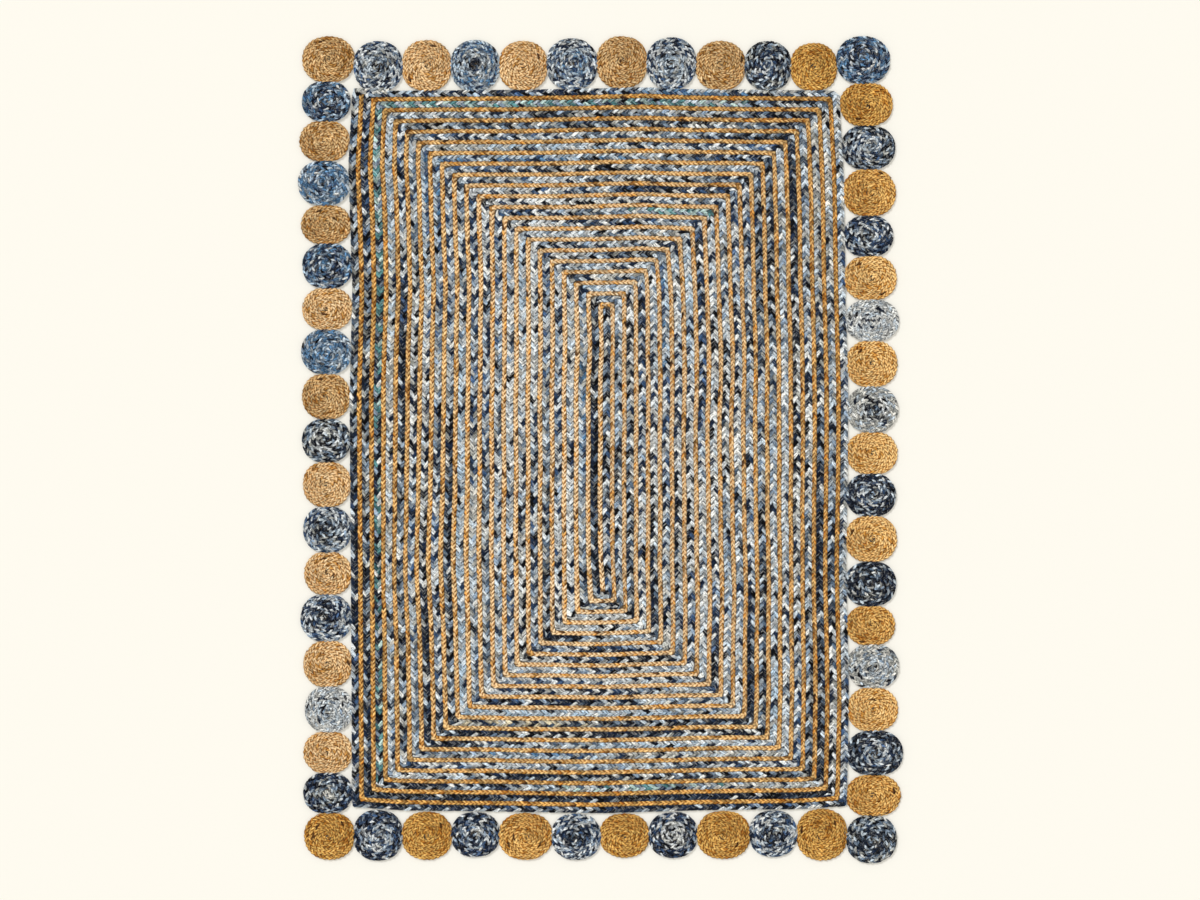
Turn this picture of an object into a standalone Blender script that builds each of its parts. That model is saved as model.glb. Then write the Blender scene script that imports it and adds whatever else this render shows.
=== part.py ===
"""Rag rug: a flat rectangular field, edged all round with coiled discs.

The real rug is made of two long plaits, one of jute yarn and one of torn denim strips. They lie side by side in
one rectangular spiral, sewn together row by row, and the discs around the edge are short lengths of the same plaits,
coiled up, sewn, and pressed against their neighbours. The field is one flat solid, and so is each disc.

Frame: +X across the rug, +Y along it, +Z up. The origin is under the middle of the rug, on the floor.
"""

from collections import namedtuple
from math import cos, sin, tau

import bmesh
import bpy
from mathutils import Vector

# Driving dimensions, in metres.
FIELD_THICKNESS = 0.0095
DENIM_DISC_THICKNESS = 0.0095
JUTE_DISC_THICKNESS = 0.008
RIM_ROUNDING = 0.0025  # the outer plait's upper edge, cut as one small slope
CORNER_RADIUS = 0.024  # the field's corners, where the spiral turns
CORNER_STEPS = 5

GAP = 0.0003  # between pieces that touch
PRESS = 0.003  # how much of a disc is squeezed flat where it meets a neighbour
SQUARENESS = 2.2  # 2 is an ellipse, and a squeezed disc is a little squarer
DISC_SIDES = 24
EDGE_SAMPLES = 9  # places tried along one disc when it is seated on the field's edge

# The field's edge, in millimetres: how far it stands out from the rug's middle line, at stations along each side.
Station = namedtuple("Station", "along_mm out_mm")
BOTTOM_EDGE = [
    Station(-615, 890),
    Station(-496, 897),
    Station(-244, 900),
    Station(0, 904),
    Station(239, 897),
    Station(480, 894),
    Station(608, 888),
]
TOP_EDGE = [
    Station(-615, 887),
    Station(-249, 889),
    Station(-100, 891),
    Station(105, 896),
    Station(226, 891),
    Station(590, 888),
]
LEFT_EDGE = [
    Station(-888, 615),
    Station(-620, 616),
    Station(-249, 618),
    Station(123, 621),
    Station(395, 614),
    Station(704, 624),
    Station(888, 619),
]
RIGHT_EDGE = [
    Station(-888, 608),
    Station(-620, 613),
    Station(-278, 606),
    Station(-63, 610),
    Station(157, 611),
    Station(370, 605),
    Station(682, 600),
    Station(878, 593),
]

# The discs of each side, in millimetres, from the left corner to the right one or from the near corner to the far one:
# where each ends along its side, and how far its outer edge stands out from the rug's middle line.
# A corner disc is in two lists. The last one's end is the next side's reach, so it is left out.
Disc = namedtuple("Disc", "ends_mm reach_mm")
BOTTOM_DISCS = [
    Disc(-610, 1016),
    Disc(-491, 1018),
    Disc(-368, 1016),
    Disc(-251, 1009),
    Disc(-120, 1016),
    Disc(-1, 1016),
    Disc(120, 1011),
    Disc(239, 1011),
    Disc(370, 1014),
    Disc(486, 1009),
    Disc(610, 1018),
    Disc(None, 1024),
]
TOP_DISCS = [
    Disc(-610, 1023),
    Disc(-491, 1011),
    Disc(-370, 1014),
    Disc(-251, 1014),
    Disc(-132, 1012),
    Disc(-9, 1018),
    Disc(115, 1024),
    Disc(236, 1020),
    Disc(358, 1012),
    Disc(471, 1011),
    Disc(585, 1007),
    Disc(None, 1023),
]
LEFT_DISCS = [
    Disc(-900, 734),
    Disc(-801, 736),
    Disc(-699, 736),
    Disc(-588, 732),
    Disc(-474, 736),
    Disc(-360, 743),
    Disc(-254, 734),
    Disc(-142, 736),
    Disc(-31, 737),
    Disc(75, 739),
    Disc(187, 739),
    Disc(296, 741),
    Disc(400, 739),
    Disc(509, 739),
    Disc(605, 742),
    Disc(714, 749),
    Disc(813, 746),
    Disc(910, 739),
    Disc(None, 739),
]
RIGHT_DISCS = [
    Disc(-907, 734),
    Disc(-806, 744),
    Disc(-697, 749),
    Disc(-590, 737),
    Disc(-484, 739),
    Disc(-387, 730),
    Disc(-278, 732),
    Disc(-165, 735),
    Disc(-61, 732),
    Disc(43, 736),
    Disc(155, 737),
    Disc(269, 736),
    Disc(370, 739),
    Disc(479, 734),
    Disc(578, 725),
    Disc(694, 732),
    Disc(801, 730),
    Disc(907, 724),
    Disc(None, 717),
]

# Each side: which way its discs are listed, which way is out of the rug, and whether its first disc is jute.
# The plaits take turns, so every second disc is of the other one.
Side = namedtuple("Side", "name along outward edge discs starts_with_jute")
BOTTOM = Side("bottom", Vector((1, 0)), Vector((0, -1)), BOTTOM_EDGE, BOTTOM_DISCS, True)
TOP = Side("top", Vector((1, 0)), Vector((0, 1)), TOP_EDGE, TOP_DISCS, True)
LEFT = Side("left", Vector((0, 1)), Vector((-1, 0)), LEFT_EDGE, LEFT_DISCS, True)
RIGHT = Side("right", Vector((0, 1)), Vector((1, 0)), RIGHT_EDGE, RIGHT_DISCS, False)

# A disc's place before it is cut: its span along the side, its span outwards, and which of its sides are pressed.
# slope is the tilt of the field's edge under it.
Seat = namedtuple("Seat", "start end inner outer pressed slope")


def mm(value):
    return value / 1000


def clear_scene():
    for item in list(bpy.data.objects):
        bpy.data.objects.remove(item, do_unlink=True)


def cloth_material(name, colour, roughness):
    """A plain matt cloth of one colour, given as linear red, green and blue."""
    material = bpy.data.materials.new(name)
    material.use_nodes = True
    shader = material.node_tree.nodes["Principled BSDF"]
    shader.inputs["Base Color"].default_value = (*colour, 1)
    shader.inputs["Roughness"].default_value = roughness
    shader.inputs["Metallic"].default_value = 0
    return material


def edge_at(side, along):
    """How far the field's edge stands out at a place along one side."""
    stations = side.edge
    for before, after in zip(stations, stations[1:]):
        if along <= mm(after.along_mm) or after is stations[-1]:
            share = (along - mm(before.along_mm)) / mm(after.along_mm - before.along_mm)
            share = min(max(share, 0), 1)
            return mm(before.out_mm) + share * mm(after.out_mm - before.out_mm)


def place(side, along, out):
    """A point on the floor, from its place along a side and its distance out from the middle line."""
    return side.along * along + side.outward * out


def corner_arc(centre_x, centre_y, quarter):
    """The round of one corner, counter-clockwise, starting at the given quarter turn."""
    points = []
    for step in range(CORNER_STEPS + 1):
        angle = tau / 4 * (quarter + step / CORNER_STEPS)
        points.append(Vector((centre_x + CORNER_RADIUS * cos(angle), centre_y + CORNER_RADIUS * sin(angle))))
    return points


def field_outline():
    """The field's outline, counter-clockwise from its lower left corner."""
    left, right = {}, {}
    for side, level in ((BOTTOM, "bottom"), (TOP, "top")):
        first, last = side.edge[0], side.edge[-1]
        left[level] = place(side, mm(first.along_mm), mm(first.out_mm))
        right[level] = place(side, mm(last.along_mm), mm(last.out_mm))
    inner = {side.name: [place(side, mm(s.along_mm), mm(s.out_mm)) for s in side.edge[1:-1]]
             for side in (BOTTOM, TOP, LEFT, RIGHT)}
    r = CORNER_RADIUS
    outline = corner_arc(left["bottom"].x + r, left["bottom"].y + r, 2)
    outline += inner["bottom"]
    outline += corner_arc(right["bottom"].x - r, right["bottom"].y + r, 3)
    outline += inner["right"]
    outline += corner_arc(right["top"].x - r, right["top"].y - r, 0)
    outline += reversed(inner["top"])
    outline += corner_arc(left["top"].x + r, left["top"].y - r, 1)
    outline += reversed(inner["left"])
    return outline


def seat_on_edge(side, start, end, reach):
    """The seat of a disc that lies between two neighbours, against the field's edge."""
    middle = (start + end) / 2
    slope = (edge_at(side, end) - edge_at(side, start)) / (end - start)
    bulge = 0
    for step in range(EDGE_SAMPLES):
        along = start + (end - start) * step / (EDGE_SAMPLES - 1)
        bulge = max(bulge, edge_at(side, along) - edge_at(side, middle) - slope * (along - middle))
    inner = edge_at(side, middle) + bulge + GAP
    return Seat(start + GAP / 2, end - GAP / 2, inner, reach, {"start", "end", "inner"}, slope)


def seat_at_corner(side, turn, at_start):
    """The seat of a corner disc, which presses on one neighbour in each of its two sides."""
    seam = turn.discs[0].ends_mm if side is BOTTOM else turn.discs[-2].ends_mm
    turn_reach = mm(turn.discs[0 if side is BOTTOM else -1].reach_mm)
    inner = mm(abs(seam)) + GAP / 2
    if at_start:
        end = mm(side.discs[0].ends_mm) - GAP / 2
        return Seat(-turn_reach, end, inner, mm(side.discs[0].reach_mm), {"end", "inner"}, 0)
    start = mm(side.discs[-2].ends_mm) + GAP / 2
    return Seat(start, turn_reach, inner, mm(side.discs[-1].reach_mm), {"start", "inner"}, 0)


def disc_outline(side, seat):
    """A squarish oval that fills its seat, cut flat where it presses on the field or on another disc."""
    low = Vector((seat.start - PRESS * ("start" in seat.pressed), seat.inner - PRESS))
    high = Vector((seat.end + PRESS * ("end" in seat.pressed), seat.outer))
    centre = (low + high) / 2
    half = (high - low) / 2
    steepness = Vector((seat.slope, -1)).normalized()
    cuts = {
        "start": (Vector((-1, 0)), centre.x - seat.start),
        "end": (Vector((1, 0)), seat.end - centre.x),
        "inner": (steepness, (Vector(((seat.start + seat.end) / 2, seat.inner)) - centre).dot(steepness)),
    }
    points = []
    for step in range(DISC_SIDES):
        angle = tau * step / DISC_SIDES
        ray = Vector((cos(angle), sin(angle)))
        spread = (abs(ray.x) / half.x) ** SQUARENESS + (abs(ray.y) / half.y) ** SQUARENESS
        reach = spread ** (-1 / SQUARENESS)
        for name in seat.pressed:
            normal, distance = cuts[name]
            if ray.dot(normal) > 0:
                reach = min(reach, distance / ray.dot(normal))
        point = centre + ray * reach
        points.append(place(side, point.x, point.y))
    return points


def slab(name, outline, thickness, material, parent):
    """A flat piece of the given outline, resting on the floor, with its upper edge sloped."""
    mesh = bpy.data.meshes.new(name)
    shape = bmesh.new()
    corners = [shape.verts.new((point.x, point.y, 0)) for point in outline]
    base = shape.faces.new(corners)
    lifted = bmesh.ops.extrude_face_region(shape, geom=[base], use_keep_orig=True)["geom"]
    upper = [item for item in lifted if isinstance(item, bmesh.types.BMVert)]
    bmesh.ops.translate(shape, vec=(0, 0, thickness), verts=upper)
    rim = [edge for edge in shape.edges if all(vert in upper for vert in edge.verts)]
    bmesh.ops.bevel(shape, geom=rim, offset=RIM_ROUNDING, segments=1, affect="EDGES")
    bmesh.ops.recalc_face_normals(shape, faces=shape.faces)
    shape.to_mesh(mesh)
    shape.free()
    mesh.materials.append(material)
    piece = bpy.data.objects.new(name, mesh)
    piece.parent = parent
    bpy.context.scene.collection.objects.link(piece)
    return piece


def build_discs(materials, parent):
    """All the discs, each against the field's edge and its two neighbours."""
    thickness = {"jute": JUTE_DISC_THICKNESS, "denim": DENIM_DISC_THICKNESS}
    for side in (BOTTOM, RIGHT, TOP, LEFT):
        last = len(side.discs) - 1
        for index, disc in enumerate(side.discs):
            is_corner = index in (0, last)
            if is_corner and side in (LEFT, RIGHT):
                continue
            if is_corner:
                seat = seat_at_corner(side, LEFT if index == 0 else RIGHT, index == 0)
            else:
                start = mm(side.discs[index - 1].ends_mm)
                seat = seat_on_edge(side, start, mm(disc.ends_mm), mm(disc.reach_mm))
            kind = "jute" if (index % 2 == 0) == side.starts_with_jute else "denim"
            name = f"disc_{side.name}_{index + 1:02d}_{kind}"
            slab(name, disc_outline(side, seat), thickness[kind], materials[kind], parent)


def build_rug():
    clear_scene()
    rug = bpy.data.objects.new("rag_rug", None)
    bpy.context.scene.collection.objects.link(rug)
    materials = {
        "jute": cloth_material("jute_plait", (0.58, 0.33, 0.11), 0.9),
        "denim": cloth_material("denim_plait", (0.17, 0.24, 0.32), 0.95),
        "field": cloth_material("sewn_plaits", (0.34, 0.30, 0.25), 0.95),
    }
    slab("rug_field", field_outline(), FIELD_THICKNESS, materials["field"], rug)
    build_discs(materials, rug)


build_rug()
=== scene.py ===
# %% [markdown]
# # A rag rug, plaited, coiled and sewn
#
# The real rug is made from two materials that both come as long soft strands: jute yarn, and strips
# torn from old denim and cotton clothes. Each is plaited in three strands. The two plaits are laid side
# by side in one rectangular spiral and sewn together, which makes the field. Short lengths are coiled
# into discs, and sewn all round the edge.
#
# The model could be a flat slab with a painted pattern, but then every plait would look ironed. Here
# each strand of each plait is a real tube that goes over and under its neighbours, so light and shade
# fall as they do on the rug.

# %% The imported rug, which everything is fitted to
from collections import namedtuple
from functools import partial
from math import ceil, cos, pi, radians, sin, tau

import bpy
import numpy as np
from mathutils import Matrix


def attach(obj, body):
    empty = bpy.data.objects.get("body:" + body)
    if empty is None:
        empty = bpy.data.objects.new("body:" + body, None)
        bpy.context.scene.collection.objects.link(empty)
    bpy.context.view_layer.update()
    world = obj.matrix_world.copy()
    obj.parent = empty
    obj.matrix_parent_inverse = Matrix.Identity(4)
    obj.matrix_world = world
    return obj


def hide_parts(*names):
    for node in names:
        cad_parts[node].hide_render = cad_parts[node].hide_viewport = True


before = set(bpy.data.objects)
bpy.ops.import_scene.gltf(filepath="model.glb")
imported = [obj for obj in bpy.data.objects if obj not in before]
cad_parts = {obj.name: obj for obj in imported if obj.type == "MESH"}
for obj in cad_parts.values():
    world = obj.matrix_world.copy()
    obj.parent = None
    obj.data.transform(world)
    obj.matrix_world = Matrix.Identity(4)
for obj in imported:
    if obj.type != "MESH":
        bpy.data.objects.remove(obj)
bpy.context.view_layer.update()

# %% [markdown]
# ## Helpers
#
# Colours are picked as sRGB hex values, as in any paint program, but nodes work with linear light, so
# one function turns the first into the second. Nodes could be placed by hand in the node editor. In a
# script, one small function that adds a node with its settings and links keeps a material to a few
# lines, in the order in which the colour is built up.

# %% Colours, nodes, materials and objects
def linear(hex_colour):
    """An sRGB hex colour as the linear red, green, blue and alpha that Blender's nodes use."""
    values = [int(hex_colour[start:start + 2], 16) / 255 for start in (1, 3, 5)]
    return [v / 12.92 if v <= 0.04045 else ((v + 0.055) / 1.055) ** 2.4 for v in values] + [1.0]


def add(tree, kind, inputs=(), output=0, **settings):
    """Adds one node and returns one of its outputs.

    Inputs are a tuple in the order of the node's sockets, or a dictionary by their names. Each is a
    value, or the output of another node.
    """
    node = tree.nodes.new(kind)
    for name, value in settings.items():
        setattr(node, name, value)
    for name, value in inputs.items() if isinstance(inputs, dict) else enumerate(inputs):
        if isinstance(value, bpy.types.NodeSocket):
            tree.links.new(value, node.inputs[name])
        else:
            node.inputs[name].default_value = value
    return node.outputs[output]


def new_material(name, **values):
    """A material whose Principled shader has these values on its own sockets."""
    material = bpy.data.materials.new(name)
    material.use_nodes = True
    shader = material.node_tree.nodes["Principled BSDF"]
    for socket, value in values.items():
        shader.inputs[socket.replace("_", " ")].default_value = value
    return material, material.node_tree, shader


def new_object(name, data):
    """An object in the scene, made from a mesh, a lamp or a camera."""
    made = bpy.data.objects.new(name, data)
    bpy.context.scene.collection.objects.link(made)
    return made


print("middle grey, #808080, is", round(linear("#808080")[0], 3), "in linear light")

# %% [markdown]
# ## The studio
#
# The rug lies flat and is seen from straight above, so a long lens high over it shows hardly any
# perspective. The floor is a plain cream paper. It could be lit by lamps alone, but lamps strong enough
# to make it so pale would bleach the rug, so the paper also glows a little. A broad soft lamp from one
# side draws the small shadows that make a plait readable, and the pale world fills them in.

# %% The paper under the rug
PAPER_HALF = 40.0  # so that the sheet fills every view
PAPER_DROP = 0.0004  # just under the rug
PAPER_SHADE = 0.72
PAPER_GLOW = 0.28

paper_colour = [PAPER_SHADE * value for value in linear("#F5F4EE")[:3]] + [1.0]
cream_paper, _, _ = new_material("cream_paper", Base_Color=paper_colour, Roughness=0.9,
                                 Emission_Color=linear("#FFFBEF"), Emission_Strength=PAPER_GLOW)
paper_mesh = bpy.data.meshes.new("paper_floor")
paper_corners = [(x * PAPER_HALF, y * PAPER_HALF, 0) for x, y in ((-1, -1), (1, -1), (1, 1), (-1, 1))]
paper_mesh.from_pydata(paper_corners, [], [(0, 1, 2, 3)])
paper_mesh.materials.append(cream_paper)
paper_floor = new_object("paper_floor", paper_mesh)
paper_floor.location.z = -PAPER_DROP
print("the paper is", 2 * PAPER_HALF, "m wide")

# %% The pale world and the soft lamp
WORLD_STRENGTH = 0.70
LAMP_STRENGTH = 1.55
LAMP_WIDTH = 14  # degrees of the sky, and the wider it is, the softer the shadows
LAMP_TILT = (-30, -26, 0)  # degrees

world = bpy.data.worlds.new("pale_studio")
world.use_nodes = True
world.node_tree.nodes["Background"].inputs["Color"].default_value = linear("#FFFBF3")
world.node_tree.nodes["Background"].inputs["Strength"].default_value = WORLD_STRENGTH
bpy.context.scene.world = world

lamp = bpy.data.lights.new("window_light", "SUN")
lamp.energy = LAMP_STRENGTH
lamp.angle = radians(LAMP_WIDTH)
new_object("window_light", lamp).rotation_euler = [radians(tilt) for tilt in LAMP_TILT]
print("the lamp is", LAMP_WIDTH, "degrees wide and leans by", LAMP_TILT[:2], "degrees")

# %% The camera overhead
METRES_PER_PIXEL = 0.002475  # on the rug, in a picture 1200 pixels wide
PICTURE_WIDTH = 1200
LENS_MM = 85
SENSOR_MM = 36
RUG_TOP = 0.009  # the height at which that scale holds
CLIP_END = 200

camera = bpy.data.cameras.new("overhead_camera")
camera.lens = LENS_MM
camera.sensor_width = SENSOR_MM
camera.clip_end = CLIP_END
camera_height = PICTURE_WIDTH * METRES_PER_PIXEL * LENS_MM / SENSOR_MM + RUG_TOP
camera_object = new_object("overhead_camera", camera)
camera_object.location = (-METRES_PER_PIXEL / 2, -METRES_PER_PIXEL / 2, camera_height)
bpy.context.scene.camera = camera_object
bpy.context.scene.view_settings.view_transform = "Standard"
bpy.context.scene.view_settings.look = "None"
print(f"the camera looks straight down from {camera_height:.2f} m")

# %% [markdown]
# ## The shape of the field
#
# A hand-sewn rug is never a true rectangle: its edges bow by a few millimetres, and every row inside
# follows them. Each row could be drawn by hand, but there are 165 of them. So the rows are first drawn
# on a true rectangle, where their corners are easy to work out, and then moved to the rug's own edges,
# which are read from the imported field's outline.

# %% The field's own edges
DRAWN = {"left": -0.618, "right": 0.606, "bottom": -0.897, "top": 0.890}
ON_FLOOR = 1e-4  # corners lower than this belong to the outline
# A point belongs to a side if it lies further out than the first number, and within the second along it.
LONG_SIDE = (0.57, 0.868)
SHORT_SIDE = (0.8865, 0.5925)


def outline_of(node):
    """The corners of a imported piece's outline on the floor."""
    points = np.array([vertex.co[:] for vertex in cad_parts[node].data.vertices])
    return np.unique(np.round(points[points[:, 2] < ON_FLOOR, :2], 6), axis=0)


def edge_of_field(axis, sign, least_out, most_along):
    """One edge of the field, as a function from the place along it to how far out it lies."""
    out, along = field_outline[:, axis], field_outline[:, 1 - axis]
    chosen = (out * sign > least_out) & (np.abs(along) < most_along)
    order = np.argsort(along[chosen])
    stations, reach = along[chosen][order], out[chosen][order]
    return lambda place: np.interp(place, stations, reach)


field_outline = outline_of("rug_field")
left_edge, right_edge = (edge_of_field(0, sign, *LONG_SIDE) for sign in (-1, 1))
bottom_edge, top_edge = (edge_of_field(1, sign, *SHORT_SIDE) for sign in (-1, 1))
print("the field is", round(float(right_edge(0) - left_edge(0)), 3), "m wide in the middle and",
      round(float(top_edge(0) - bottom_edge(0)), 3), "m long")

# %% How the rows wander
WAVES = {
    # size in metres, how fast it turns along and across the rug, and where it starts
    "across": ((0.0006, 23, -11, 0.4), (0.0005, 57, 190, 0.0)),
    "along": ((0.0006, 13, 21, 5.0), (0.0005, 230, 61, 0.0)),
}
BULGES = [
    # middle across and along the rug, how far the rows are pushed to the right, how wide and long it is
    (-0.42, -0.27, -0.0090, 0.110, 0.20),
    (0.33, -0.32, 0.0085, 0.160, 0.20),
    (0.00, -0.38, 0.0085, 0.055, 0.09),
    (0.29, 0.26, 0.0045, 0.110, 0.13),
    (-0.54, 0.54, 0.0045, 0.090, 0.16),
    (-0.23, 0.60, 0.0060, 0.050, 0.07),
    (-0.03, 0.25, 0.0040, 0.055, 0.06),
    (0.16, 0.50, -0.0060, 0.070, 0.10),
]
STEADY_SHARE = (1 / 12, 1 / 18)  # of the width and the length, in which rows wander less towards an edge
LOOK_UPS = 4  # each edge is found at a place that the other edges have moved, so it is found again


def sway(x, y):
    """How far a row wanders from its line, because it was laid by hand. Its neighbours mostly share it."""
    across, along = (
        sum(size * np.sin(fast_y * y + fast_x * x + start) for size, fast_y, fast_x, start in WAVES[way])
        for way in ("across", "along")
    )
    for middle_x, middle_y, push, wide, long in BULGES:
        across = across + push * np.exp(-((x - middle_x) / wide) ** 2 - ((y - middle_y) / long) ** 2)
    return across, along


def on_rug(points):
    """Moves points from the true rectangle to the rug."""
    x_drawn, y_drawn = np.array(points).T
    u = (x_drawn - DRAWN["left"]) / (DRAWN["right"] - DRAWN["left"])
    v = (y_drawn - DRAWN["bottom"]) / (DRAWN["top"] - DRAWN["bottom"])
    x, y = x_drawn, y_drawn
    for _ in range(LOOK_UPS):
        x, y = left_edge(y) * (1 - u) + right_edge(y) * u, bottom_edge(x) * (1 - v) + top_edge(x) * v
    from_sides = np.minimum(u, 1 - u) / STEADY_SHARE[0]
    from_ends = np.minimum(v, 1 - v) / STEADY_SHARE[1]
    inside = np.clip(np.minimum(from_sides, from_ends), 0, 1)
    across, along = sway(x, y)
    return np.stack([x + across * inside, y + along * inside], axis=1)


print("the strongest bulge pushes the rows by", max(abs(bulge[2]) for bulge in BULGES) * 1000, "mm")

# %% [markdown]
# ## The route of the two plaits
#
# Both plaits start in the middle and go round clockwise: up the left, along the top, down the right and
# back along the bottom. The jute plait starts between the two denim rows in the middle, so its rows and
# the denim's take turns.
#
# A single line down the middle of the plait would do for straight rows. But at every corner the plait
# is bent sharply, which stretches its outer edge. Drawing the plait's two edges, each with its own
# corner radius, gives both its middle line and its width there.

# %% Rows of the spiral
ROUNDS = 20
SIDES = ["left", "top", "right", "bottom"]  # in the order in which the plaits pass them
OUTWARD = {"left": (-1, 0), "top": (0, 1), "right": (1, 0), "bottom": (0, -1)}
ONWARD = {"left": (0, 1), "top": (1, 0), "right": (0, -1), "bottom": (-1, 0)}
JUTE_FROM_EDGE = {"left": 0.0232, "right": 0.0212, "bottom": 0.0240, "top": 0.0200}
PAIR_PITCH = {"left": 0.02965, "right": 0.0293, "bottom": 0.0264, "top": 0.0269}
JUTE_HALF = {"left": 0.0061, "right": 0.0059, "bottom": 0.0057, "top": 0.0058}
DENIM_HALF = {side: PAIR_PITCH[side] / 2 - JUTE_HALF[side] for side in SIDES}
TAIL_OUT = 0.0005  # how far past the field's top edge the middle of the denim plait's end runs

Leg = namedtuple("Leg", "side line")


def row_line(side, number, shift):
    """Where a row lies on the true rectangle. The left side has one row more than the others."""
    outermost = ROUNDS if side == "left" else ROUNDS - 1
    sign = sum(OUTWARD[side])
    inward = JUTE_FROM_EDGE[side] + PAIR_PITCH[side] * (outermost - number - shift / 2)
    return DRAWN[side] - sign * inward


def spiral_legs(shift, first_legs):
    """The straight rows of one plait, from the middle out. A shift of 1 puts them half a pitch out."""
    legs = list(first_legs)
    for number in range(ROUNDS):
        legs += [Leg(side, row_line(side, number, shift)) for side in SIDES]
    return legs + [Leg("left", row_line("left", ROUNDS, shift))]


jute_legs = spiral_legs(0, [])
denim_legs = spiral_legs(1, [Leg(side, row_line(side, -1, 1)) for side in ("right", "bottom")])
denim_legs.append(Leg("top", DRAWN["top"] + TAIL_OUT))
print(len(jute_legs), "straight rows of jute and", len(denim_legs), "of denim")

# %% The two edges of a plait
STEP = 0.030  # between points on a straight row
CORNER_ZONE = 0.022  # how far from a corner the plait still feels it
CORNER_ZONE_SHARE = 0.42  # of a row that is too short for two such zones
CORNER_POINTS = 6
CORNER_PLACE = 1e-3  # of a row, in which a corner lies when places are counted
TIGHT_TURNS = 3  # the first turns are too tight to be folded sharply
TIGHT_SLACK = 1.4

Route = namedtuple("Route", "outer inner place")


def corner_point(one, other):
    """Where two rows meet."""
    return (one.line, other.line) if one.side in ("left", "right") else (other.line, one.line)


def plait_route(legs, start, end, half, outer_radius, inner_radius):
    """The plait's two edges, point for point, with each point's place: its row and how far along."""
    corners = [np.array(corner_point(one, other)) for one, other in zip(legs, legs[1:])]
    middle = [np.array(start)] + corners + [np.array(end)]
    outer, inner, place = [], [], []
    for number, leg in enumerate(legs):
        out, on = np.array(OUTWARD[leg.side]), np.array(ONWARD[leg.side])
        length = float((middle[number + 1] - middle[number]) @ on)
        zone = min(CORNER_ZONE, CORNER_ZONE_SHARE * length)
        first = 0 if number == 0 else zone
        last = length if number == len(legs) - 1 else length - zone
        steps = max(1, ceil((last - first) / STEP))
        for travelled in np.linspace(first, last, steps + 1):
            point = middle[number] + on * travelled
            outer.append(point + out * half[leg.side])
            inner.append(point - out * half[leg.side])
            place.append(number + travelled / length)
        if number == len(legs) - 1:
            break
        following = legs[number + 1]
        out_next, on_next = np.array(OUTWARD[following.side]), np.array(ONWARD[following.side])
        slack = TIGHT_SLACK if number < TIGHT_TURNS else 1.0
        for edge, sign, radius in ((outer, 1, slack * outer_radius), (inner, -1, slack * inner_radius)):
            corner = middle[number + 1] + sign * (out * half[leg.side] + out_next * half[following.side])
            centre = corner - radius * on + radius * on_next
            for turn in np.linspace(0, pi / 2, CORNER_POINTS):
                edge.append(centre + radius * (on * sin(turn) - on_next * cos(turn)))
        place += [number + 1 + share for share in np.linspace(-CORNER_PLACE, CORNER_PLACE, CORNER_POINTS)]
    return Route(on_rug(outer), on_rug(inner), np.array(place))


def lengths_of(route):
    """How far along the plait's middle line each of its points lies."""
    middle = (route.outer + route.inner) / 2
    return np.concatenate([[0], np.cumsum(np.linalg.norm(np.diff(middle, axis=0), axis=1))])


print("a corner is drawn with", CORNER_POINTS, "points, and a straight row with one every", STEP, "m")

# %% Where the plaits start and end
END_GAP = 0.002  # between a plait's end and the row that it meets
DENIM_TAIL = 0.085  # how far the denim plait's end runs on along the top
JUTE_RADII = (0.0075, 0.0025)  # of the outer and inner edge at a corner
DENIM_RADII = (0.0085, 0.003)

jute_start = (jute_legs[0].line, row_line("bottom", -1, 1) + DENIM_HALF["bottom"] + END_GAP)
jute_end = (jute_legs[-1].line, DRAWN["top"] - END_GAP)
denim_start = (denim_legs[0].line, row_line("top", 0, 0) - JUTE_HALF["top"] - END_GAP)
denim_end = (denim_legs[-2].line + DENIM_TAIL, denim_legs[-1].line)
jute_route = plait_route(jute_legs, jute_start, jute_end, JUTE_HALF, *JUTE_RADII)
denim_route = plait_route(denim_legs, denim_start, denim_end, DENIM_HALF, *DENIM_RADII)
for kind, route in (("jute", jute_route), ("denim", denim_route)):
    print(f"the {kind} plait is {lengths_of(route)[-1]:.1f} m long")

# %% [markdown]
# ## How a plait goes
#
# In a three-strand plait each strand swings from side to side. It folds over at the edge, goes back
# under the other two, comes up past the middle and crosses on top to the other edge. So the top shows
# two files of slanted stitches that meet in a zigzag, and each stitch covers the side of the one before.
# The three strands do the same thing a third of a swing apart.
#
# All of this follows one rule, so the plaits are made by Geometry Nodes, with their sizes as inputs. A
# strand needs only four rings of corners to half a swing, and the table says where they are.

# %% Sizes of the plaits
STRAND_WAY = {
    # at one edge, where it folds over; back underneath; coming up past the middle; on top, on its way
    # across; and at the other edge
    "share": (0.00, 0.25, 0.50, 0.75, 1.00),  # of the half swing
    "out": (1.00, 0.62, 0.20, -0.45, -1.00),
    "height": (0.35, -1.00, 0.15, 0.95, 0.35),
    "ahead": (0.00, 0.03, 0.17, 0.09, 0.00),
    "width": (1.00, 0.75, 0.95, 1.05, 1.00),
}
DENIM = {
    "Stitch": 0.0165,  # from one stitch to the next in the same file
    "Rings": 4,  # to half a swing
    "Half Width": 0.0089,  # of the plait
    "Reach": 0.89,  # how far out the strands swing, as a share of half the plait's width
    "Middle Height": 0.0047,
    "Rise": 0.0022,  # how far the strands go over and under that height
    "Lean": 0.0014,  # how much higher one side of a strand lies than its middle
    "Overlap": 1.12,  # a strand's width, as a share of the stitch
    "Thickness": 0.0034,  # of a strand
    "Taper": 0.25,  # how much narrower a strand is on the face that shows
    "Section Points": 4,  # folded cloth is a flat bar
    "Unevenness": 0.16,  # from stitch to stitch
    "Drift": 0.0035,  # how far the stitches run ahead or behind, because nobody pulls evenly
}
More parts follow.
